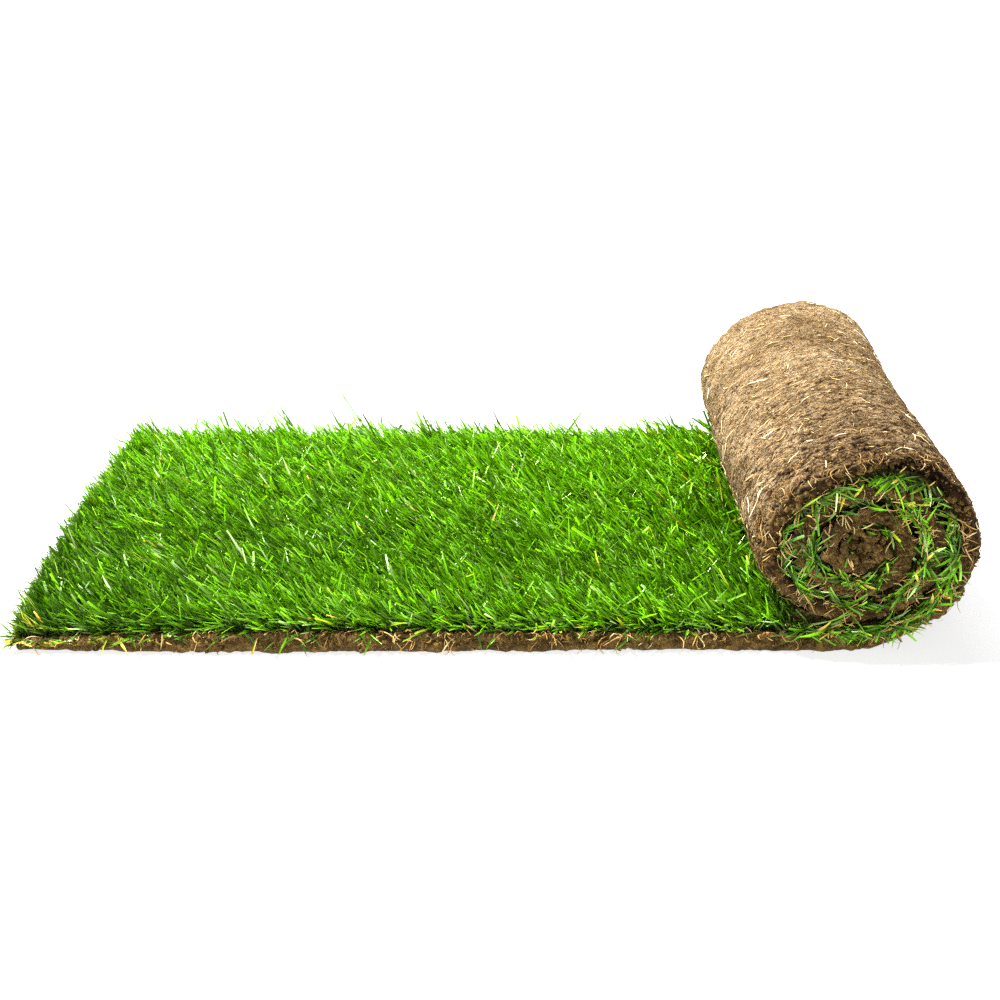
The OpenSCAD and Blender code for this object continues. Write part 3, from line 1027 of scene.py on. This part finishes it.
# ---------------------------------------------------------------- stems and roots
def tubes_object(name, lines, radius, column, sides=3):
    """Thin tapering tubes along lines (n, stations, 3)."""
    n, m, _ = lines.shape
    d = np.gradient(lines, axis=1)
    d = unit(d)
    ref = unit(np.random.default_rng(3).normal(size=(n, 1, 3)))
    a = unit(np.cross(d, ref))
    b = np.cross(d, a)
    s = np.linspace(0, 1, m)
    prof = np.interp(s, [0, 0.15, 0.8, 1], [0.75, 1.0, 0.75, 0.35])
    ang = np.arange(sides) * 2 * math.pi / sides
    ring = (a[:, :, None] * np.cos(ang)[None, None, :, None] + b[:, :, None] * np.sin(ang)[None, None, :, None])
    pts = lines[:, :, None] + ring * (radius[:, None] * prof[None])[:, :, None, None]
    pts[..., 2] = np.maximum(pts[..., 2], 0.2)
    base = (np.arange(n) * m * sides)[:, None]
    pat = []
    vv, uu = [], []
    for i in range(m - 1):
        for k in range(sides):
            k2 = (k + 1) % sides
            pat += [i * sides + k, i * sides + k2, (i + 1) * sides + k2, (i + 1) * sides + k]
            vv += [s[i], s[i], s[i + 1], s[i + 1]]
            uu += [-0.3 + 0.6 * k / sides, -0.3 + 0.6 * (k + 1) / sides, -0.3 + 0.6 * (k + 1) / sides, -0.3 + 0.6 * k / sides]
    counts = [4] * ((m - 1) * sides)
    pat += list(range(sides))[::-1]
    vv += [0.0] * sides
    uu += [0.0] * sides
    pat += [(m - 1) * sides + k for k in range(sides)]
    vv += [1.0] * sides
    uu += [0.0] * sides
    counts += [sides, sides]
    loops = (base + np.array(pat)[None]).ravel()
    counts = np.tile(counts, n)
    uv = np.stack([(column[:, None] + 0.5 + np.array(uu)[None]) / COLUMNS,
                   np.broadcast_to(0.01 + 0.98 * np.array(vv), (n, len(vv)))], -1).reshape(-1, 2)
    return mesh_object(name, pts.reshape(-1, 3), loops, counts, [M_STRAW], None, {"blade": uv, "OFBake": uv})


def on_skin(u, y, lift):
    """Points on the roll's outer face, at u mm round it from the floor."""
    t = np.interp(u, ARC, T_ROWS)
    n = np.stack([np.sin(np.radians(t)), -np.cos(np.radians(t))], -1)
    h = (skin_height(u, y, t) - worn(u, y)) * rise((t - 4) / 30)
    p = at(t, r_out(t)) + n * (h + lift)[..., None]
    return np.stack([p[..., 0], y, p[..., 1]], -1)


def skin_stems():
    rng = np.random.default_rng(31)
    last = ARC[T_ROWS <= 325][-1]
    first = ARC[T_ROWS >= 22][0]
    made = []
    for name, n, m, r_lo, r_hi, l_lo, l_hi, c_lo, c_hi, lift, curl in (
            ("straw_on_roll", 430, 6, 0.18, 0.46, 4, 20, 0.0, 0.42, 0.35, 0.8),
            ("stalks_on_roll", 120, 7, 0.38, 0.66, 10, 30, 0.0, 0.16, 0.55, 0.55),
            ("fibres_on_roll", 2400, 4, 0.13, 0.29, 3, 11, 0.38, 0.92, 0.15, 0.9)):
        u0, y0 = rng.uniform(first, last, n), rng.uniform(3, WIDTH - 3, n)
        ang = rng.normal(0, 0.8, n)
        length = l_lo + (l_hi - l_lo) * rng.random(n) ** 2.2
        bend = rng.normal(0, curl, n)
        s = np.linspace(-0.5, 0.5, m)
        th = ang[:, None] + bend[:, None] * s[None]
        du = np.cumsum(np.cos(th), 1) * (length / m)[:, None]
        dy = np.cumsum(np.sin(th), 1) * (length / m)[:, None]
        u, y = u0[:, None] + du, np.clip(y0[:, None] + dy, -1, WIDTH + 1)
        # laid straight between a few points, so it bridges hollows and doesn't follow each grain
        ends = on_skin(np.clip(u[:, [0, m // 2, m - 1]], 5, ARC[T_ROWS <= 340][-1]), y[:, [0, m // 2, m - 1]],
                       np.full((n, 3), lift + 0.25))
        full = on_skin(np.clip(u, 5, ARC[T_ROWS <= 340][-1]), y, np.full((n, m), lift))
        k = np.linspace(0, 2, m)
        i0 = np.minimum(k.astype(int), 1)
        f = (k - i0)[None, :, None]
        straight = ends[:, i0] * (1 - f) + ends[:, i0 + 1] * f
        line = 0.35 * full + 0.65 * straight
        line = line + (full - straight) * 0.4 * (np.linalg.norm(full - straight, axis=-1, keepdims=True) > 1.2)
        made.append(tubes_object(name, line, rng.uniform(r_lo, r_hi, n), np.floor(rng.uniform(c_lo, c_hi, n) * COLUMNS)))
    return made


def edge_roots():
    """Roots and dead stems in the cut edges, front, back and end."""
    rng = np.random.default_rng(41)
    parts = []
    m = 5
    for side, n in ((0, 420), (1, 320)):
        out = -1.0 if side == 0 else 1.0
        i = rng.integers(0, N_ROWS - 4, n)
        w = rng.uniform(0.12, 1.0, n)
        p0 = soil_points(i, w * K, np.full(n, 0 if side == 0 else NJ)) - np.array([0, out, 0])
        lie = rng.normal(0, 1, (n, 2))
        d0 = unit(np.stack([lie[:, 0], out * rng.uniform(0.1, 0.8, n), lie[:, 1]], 1))
        lie1 = lie + rng.normal(0, 0.5, (n, 2))
        d1 = unit(np.stack([lie1[:, 0], out * rng.uniform(-0.35, 0.15, n), lie1[:, 1] - 0.3], 1))
        length = rng.uniform(3, 10, n) * np.where(rng.random(n) < 0.10, 1.7, 1.0)
        s = np.linspace(0, 1, m)[None, :, None]
        d = unit(d0[:, None] * (1 - s) + d1[:, None] * s)
        line = p0[:, None] + np.cumsum(d, 1) * (length / m)[:, None, None]
        line[..., 1] = np.clip(line[..., 1], -12, WIDTH + 12)
        parts.append((line, rng.uniform(0.16, 0.42, n), np.floor(rng.uniform(0.0, 0.99, n) * COLUMNS)))
    n = 220
    y = rng.uniform(2, WIDTH - 2, n)
    p0 = np.stack([np.full(n, -TAIL + 1.0), y, rng.uniform(1, SOIL, n)], 1)
    d0 = unit(np.stack([-rng.uniform(0.2, 0.9, n), rng.normal(0, 0.8, n), rng.normal(0, 0.8, n)], 1))
    d1 = unit(np.stack([-rng.uniform(-0.3, 0.2, n), rng.normal(0, 1, n), rng.normal(-0.4, 0.6, n)], 1))
    length = rng.uniform(3, 10, n)
    s = np.linspace(0, 1, m)[None, :, None]
    d = unit(d0[:, None] * (1 - s) + d1[:, None] * s)
    line = p0[:, None] + np.cumsum(d, 1) * (length / m)[:, None, None]
    parts.append((line, rng.uniform(0.16, 0.40, n), np.floor(rng.uniform(0.0, 0.99, n) * COLUMNS)))
    return tubes_object("roots_at_edges", np.concatenate([p[0] for p in parts]), np.concatenate([p[1] for p in parts]),
                        np.concatenate([p[2] for p in parts]))


def dead_stems():
    """Dry stems among the bases of the grass: hanging over the cut edges, and between the turns at the ends."""
    rng = np.random.default_rng(45)
    parts, m = [], 5

    def grow(p0, d0, d1, length, r_lo, r_hi, c_hi, curl=0.5):
        s = np.linspace(0, 1, m)[None, :, None]
        d1 = unit(0.55 * d0 + 0.45 * d1)
        kink = rng.normal(0, curl, d0.shape)[:, None] * np.sin(math.pi * s * 1.5)
        d = unit(d0[:, None] * (1 - s) + d1[:, None] * s + kink)
        line = p0[:, None] + np.cumsum(d, 1) * (length / m)[:, None, None]
        line[..., 1] = np.clip(line[..., 1], -15, WIDTH + 15)
        n = len(p0)
        parts.append((line, rng.uniform(r_lo, r_hi, n), np.floor(rng.uniform(0.12, c_hi, n) * COLUMNS)))

    for side, n in ((0, 260), (1, 200)):
        out = -1.0 if side == 0 else 1.0
        x = rng.uniform(-TAIL, 20, n)
        keep = fbm(x / 26, seed=81 + side, octaves=2) + rng.uniform(-0.35, 0.55, n) > 0
        keep |= x < -TAIL + 14
        x = x[keep]
        n = len(x)
        base = -0.5 if side == 0 else WIDTH + 0.5
        p0 = np.stack([x, base - out * rng.uniform(-1.5, 2.5, n), SOIL + rng.uniform(-3.0, 2.5, n)], 1)
        lie = rng.normal(0, 1.0, n)
        d0 = unit(np.stack([lie, out * rng.uniform(0.3, 1.0, n), rng.uniform(-0.9, 0.4, n)], 1))
        d1 = unit(np.stack([lie * 0.7 + rng.normal(0, 0.4, n), out * rng.uniform(-0.1, 0.35, n), -rng.uniform(0.3, 1.4, n)], 1))
        grow(p0, d0, d1, 6 + 18 * rng.random(n) ** 1.5, 0.26, 0.74, 0.62, 0.55)
        # and some between the turns
        n, tc, p, tangent, inward = in_the_gap(rng, 0, side, 0.40 if side == 0 else 0.32, 83, 0.4)
        depth = rng.uniform(-3.0, 5.0, n)
        p0 = np.stack([p[:, 0], depth if side == 0 else WIDTH - depth, p[:, 1]], 1)
        v = tangent * rng.normal(0, 0.8, n)[:, None] + inward * rng.normal(-0.1, 0.7, n)[:, None]
        w = v + tangent * rng.normal(0, 0.7, n)[:, None] + inward * rng.normal(0, 0.6, n)[:, None]
        d0 = unit(np.stack([v[:, 0], out * rng.uniform(0.2, 0.8, n), v[:, 1]], 1))
        d1 = unit(np.stack([w[:, 0], out * rng.uniform(-0.3, 0.2, n), w[:, 1] - 0.15], 1))
        grow(p0, d0, d1, rng.uniform(6, 18, n), 0.26, 0.72, 0.50, 0.22)
    n = 120
    p0 = np.stack([np.full(n, -TAIL - 0.5), rng.uniform(0, WIDTH, n), SOIL + rng.uniform(-3, 2, n)], 1)
    lie = rng.normal(0, 1.0, n)
    d0 = unit(np.stack([-rng.uniform(0.3, 1.0, n), lie, rng.uniform(-0.3, 0.6, n)], 1))
    d1 = unit(np.stack([-rng.uniform(-0.1, 0.35, n), lie * 0.7, -rng.uniform(0.3, 1.4, n)], 1))
    grow(p0, d0, d1, rng.uniform(5, 14, n), 0.25, 0.6, 0.62)
    # pale roots hanging over the front lip of the roll
    n = 26
    t = rng.uniform(150, 262, n)
    u = np.interp(t, T_ROWS, ARC)
    y = rng.uniform(-1, 16, n)
    q = on_skin(u, y, np.full(n, 0.5))
    a = np.radians(t)
    tangent = np.stack([np.cos(a), 0 * a, np.sin(a)], 1)
    outward = np.stack([np.sin(a), 0 * a, -np.cos(a)], 1)
    d0 = unit(tangent * rng.normal(0, 0.5, n)[:, None] + outward * 0.15 + np.array([0, -1.0, 0]))
    d1 = unit(tangent * rng.normal(0, 0.6, n)[:, None] - outward * rng.uniform(0.1, 1.2, n)[:, None]
              + np.array([0, -0.35, -0.3]))
    grow(q, d0, d1, rng.uniform(8, 26, n), 0.14, 0.34, 0.75, 0.35)
    n = 230
    t = rng.uniform(105, 300, n)
    u = np.interp(t, T_ROWS, ARC)
    q = on_skin(u, np.abs(rng.normal(0, 7, n)) - 0.5, np.full(n, 0.3))
    a = np.radians(t)
    tangent = np.stack([np.cos(a), 0 * a, np.sin(a)], 1)
    outward = np.stack([np.sin(a), 0 * a, -np.cos(a)], 1)
    d0 = unit(tangent * rng.normal(0, 1, n)[:, None] + outward * rng.uniform(-0.1, 0.5, n)[:, None]
              + np.array([0, -1.0, 0]) * rng.uniform(-0.3, 1, n)[:, None])
    d1 = unit(tangent * rng.normal(0, 1.2, n)[:, None] - outward * rng.uniform(0.1, 1.6, n)[:, None]
              + np.array([0, -0.3, 0]))
    grow(q, d0, d1, rng.uniform(3, 10, n), 0.10, 0.20, 0.99, 0.3)
    parts[-1] = (*parts[-1][:2], np.floor(rng.uniform(0.36, 0.92, n) * COLUMNS))
    return tubes_object("dead_stems", *(np.concatenate([p[k] for p in parts]) for k in range(3)))


stems = list(skin_stems()) + [edge_roots(), dead_stems()]
for p in stems:
    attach(p, "root")


# ---------------------------------------------------------------- clods
def ico(level):
    import bmesh
    bm = bmesh.new()
    bmesh.ops.create_icosphere(bm, subdivisions=level, radius=1.0)
    v = np.array([x.co[:] for x in bm.verts])
    f = np.array([[x.index for x in face.verts] for face in bm.faces])
    bm.free()
    return v, f


def clods_object(name, centres, sizes, seed, level, material, paleness):
    """Crumbs of soil. paleness places each on the cut map, from 0 (dried) to 1 (moist)."""
    v, f = ico(level)
    rng = np.random.default_rng(seed)
    n = len(centres)
    turn = rng.normal(size=(n, 3, 3))
    q, _ = np.linalg.qr(turn)
    shape = np.stack([rng.uniform(0.8, 1.5, n), rng.uniform(0.6, 1.1, n), rng.uniform(0.45, 0.9, n)], 1)
    pts = np.einsum("nij,vnj->nvi", q, v[:, None] * shape[None])
    o = np.arange(n)[:, None] * 3.1
    bumpy = 1 + 0.75 * noise(pts[..., 0] * 1.1 + o, pts[..., 1] * 1.1, pts[..., 2] * 1.1, seed=7)
    if level > 1:
        bumpy = bumpy + 0.45 * noise(pts[..., 0] * 2.6 + o, pts[..., 1] * 2.6, pts[..., 2] * 2.6, seed=8)
    pts = centres[:, None] + pts * bumpy[..., None] * sizes[:, None, None]
    pts[..., 2] = np.maximum(pts[..., 2], 0.0)
    loops = (f[None] + (np.arange(n) * len(v))[:, None, None]).ravel()
    uv = np.zeros((len(loops), 2))
    uv[:, 1] = np.repeat(paleness, f.size)
    # each crumb's relief map follows its bumps; the cut material paints shade into its hollows and light onto its tops
    # from it
    relief = np.full((len(loops), 2), 0.5)
    relief[:, 0] = 0.5 + 0.9 * (bumpy.ravel()[loops] - 1)
    return mesh_object(name, pts.reshape(-1, 3), loops, np.full(n * len(f), 3), [material], None,
                       {"cut": uv, "relief": relief})


def face_spots(rng, side, n, w_lo, w_hi, roll_share):
    i = np.where(rng.random(n) < roll_share, rng.integers(N_FLAT, N_ROWS - 2, n), rng.integers(2, N_FLAT, n))
    w = rng.uniform(w_lo, w_hi, n)
    return soil_points(i, w * K, np.full(n, 0 if side == 0 else NJ)), w


def crumbs():
    rng = np.random.default_rng(61)
    made = []
    c, w = zip(*(face_spots(rng, side, n, 0.30, 1.0, 0.62) for side, n in ((0, 1000), (1, 700))))
    c, w = np.concatenate(c), np.concatenate(w)
    made.append(clods_object("soil_crumbs", c, rng.uniform(0.6, 1.6, len(c)), 62, 1, M_CUT, 0.25 + 0.75 * w))
    c, w = zip(*(face_spots(rng, side, n, 0.25, 0.9, 0.7) for side, n in ((0, 330), (1, 230))))
    c, w = np.concatenate(c), np.concatenate(w)
    made.append(clods_object("soil_clods", c, rng.uniform(1.5, 3.4, len(c)), 63, 2, M_CUT, 0.35 + 0.6 * w))
    # loose crumbs on the outside of the roll, most of them near its front lip
    n = 900
    y = np.where(rng.random(n) < 0.55, np.abs(rng.normal(0, 18, n)) + 1.5, rng.uniform(2, WIDTH - 2, n))
    u = rng.uniform(ARC[T_ROWS >= 60][0], ARC[T_ROWS <= 318][-1], n)
    p = on_skin(u, y, np.full(n, -0.1))
    made.append(clods_object("crumbs_on_roll", p, rng.uniform(0.5, 1.35, n), 64, 1, M_CUT, rng.uniform(-0.3, 0.35, n)))
    n = 420
    y = np.abs(rng.normal(0, 13, n)) + rng.uniform(-2, 3, n)
    u = rng.uniform(ARC[T_ROWS >= 150][0], ARC[T_ROWS <= 290][-1], n)
    y = np.maximum(y, 5.0 * (1 - rise((u - 270) / 40)))       # none in front of the hollow under the lip
    size = (0.7 + 2.6 * rng.random(n) ** 2.2) * np.exp(-np.maximum(y, 0) / 40)
    p = on_skin(u, y, -0.6 * size)
    made.append(clods_object("clods_at_lip", p, size, 65, 1, M_CUT, rng.uniform(0.0, 0.6, n)))
    return made


def core():
    """Loose soil that fills the middle of the roll at both ends."""
    rng = np.random.default_rng(71)
    n = 230
    ang, rad = rng.uniform(0, 2 * math.pi, n), 19 * np.sqrt(rng.random(n))
    depth = rng.uniform(-4, 6, n) + rad * 0.25
    y = np.where(np.arange(n) < n // 2, depth, WIDTH - depth)
    c = np.stack([1 + rad * np.cos(ang), y, CORE_Z - 1 + rad * np.sin(ang) * 0.9], 1)
    return clods_object("soil_core", c, 1.5 + 3.4 * rng.random(n) ** 1.6, 72, 2, M_CUT, rng.uniform(0.3, 1.0, n))


clods = crumbs() + [core()]
for p in clods:
    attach(p, "root")


# ---------------------------------------------------------------- stage
def floor():
    m, nt, bsdf, out = new_material("floor_pale")
    bsdf.inputs["Base Color"].default_value = (0.36, 0.36, 0.36, 1)
    bsdf.inputs["Emission Color"].default_value = (1, 1, 1, 1)
    bsdf.inputs["Emission Strength"].default_value = 0.76
    bsdf.inputs["Roughness"].default_value = 0.9
    bsdf.inputs["Specular IOR Level"].default_value = 0.1
    me = bpy.data.meshes.new("floor")
    s = 6.0
    me.from_pydata([(-s, -s, 0), (s, -s, 0), (s, s, 0), (-s, s, 0)], [], [(0, 1, 2, 3)])
    me.materials.append(m)
    ob = bpy.data.objects.new("floor", me)
    bpy.context.scene.collection.objects.link(ob)


floor()


def area(name, location, target, size, power, colour=(1, 1, 1)):
    light = bpy.data.lights.new(name, "AREA")
    light.shape = "RECTANGLE"
    light.size, light.size_y = size
    light.energy = power
    light.color = colour
    ob = bpy.data.objects.new(name, light)
    ob.location = location
    ob.rotation_euler = (Vector(target) - Vector(location)).to_track_quat("-Z", "Y").to_euler()
    bpy.context.scene.collection.objects.link(ob)


def sun(name, towards, strength, angle):
    light = bpy.data.lights.new(name, "SUN")
    light.energy = strength
    light.angle = math.radians(angle)
    ob = bpy.data.objects.new(name, light)
    ob.rotation_euler = Vector(towards).to_track_quat("Z", "Y").to_euler()
    bpy.context.scene.collection.objects.link(ob)


sun("key", (-0.44, 0.16, 1.0), 8.9, 5)
area("back", (-0.30, 0.95, 1.25), (-0.05, 0.15, 0), (1.4, 0.6), 40)
area("fill", (-0.9, -1.9, 0.8), (0.1, 0, 0.05), (1.2, 1.0), 12)

world = bpy.data.worlds.new("studio")
world.use_nodes = True
bg = world.node_tree.nodes["Background"]
bg.inputs[0].default_value = (1, 1, 1, 1)
bg.inputs[1].default_value = 0.38
# the backdrop is white like the floor; it lights the turf as a dimmer, soft studio
backdrop = world.node_tree.nodes.new("ShaderNodeBackground")
seen = world.node_tree.nodes.new("ShaderNodeLightPath")
choose = world.node_tree.nodes.new("ShaderNodeMixShader")
world.node_tree.links.new(seen.outputs["Is Camera Ray"], choose.inputs[0])
world.node_tree.links.new(bg.outputs[0], choose.inputs[1])
world.node_tree.links.new(backdrop.outputs[0], choose.inputs[2])
backdrop.inputs[0].default_value = (1, 1, 1, 1)
backdrop.inputs[1].default_value = 1.0
world.node_tree.links.new(choose.outputs[0], world.node_tree.nodes["World Output"].inputs[0])
bpy.context.scene.world = world

scene = bpy.context.scene
scene.view_settings.view_transform = "Standard"
scene.view_settings.look = "None"
scene.cycles.use_denoising = False      # the blades are a pixel or two wide, and the denoiser smears them

# ---------------------------------------------------------------- camera
cam = bpy.data.cameras.new("camera")
cam.sensor_width = 36.0
cam.lens = 54.0
cam.clip_end = 50
cam_ob = bpy.data.objects.new("camera", cam)
cx, cy, cz = -272.0, -1015.0, 570.0
cam_ob.location = to_row([[cx, cy, cz]])[0]
cam_ob.rotation_euler = (math.radians(90 - 23.61), 0, 0)
bpy.context.scene.collection.objects.link(cam_ob)
scene.camera = cam_ob
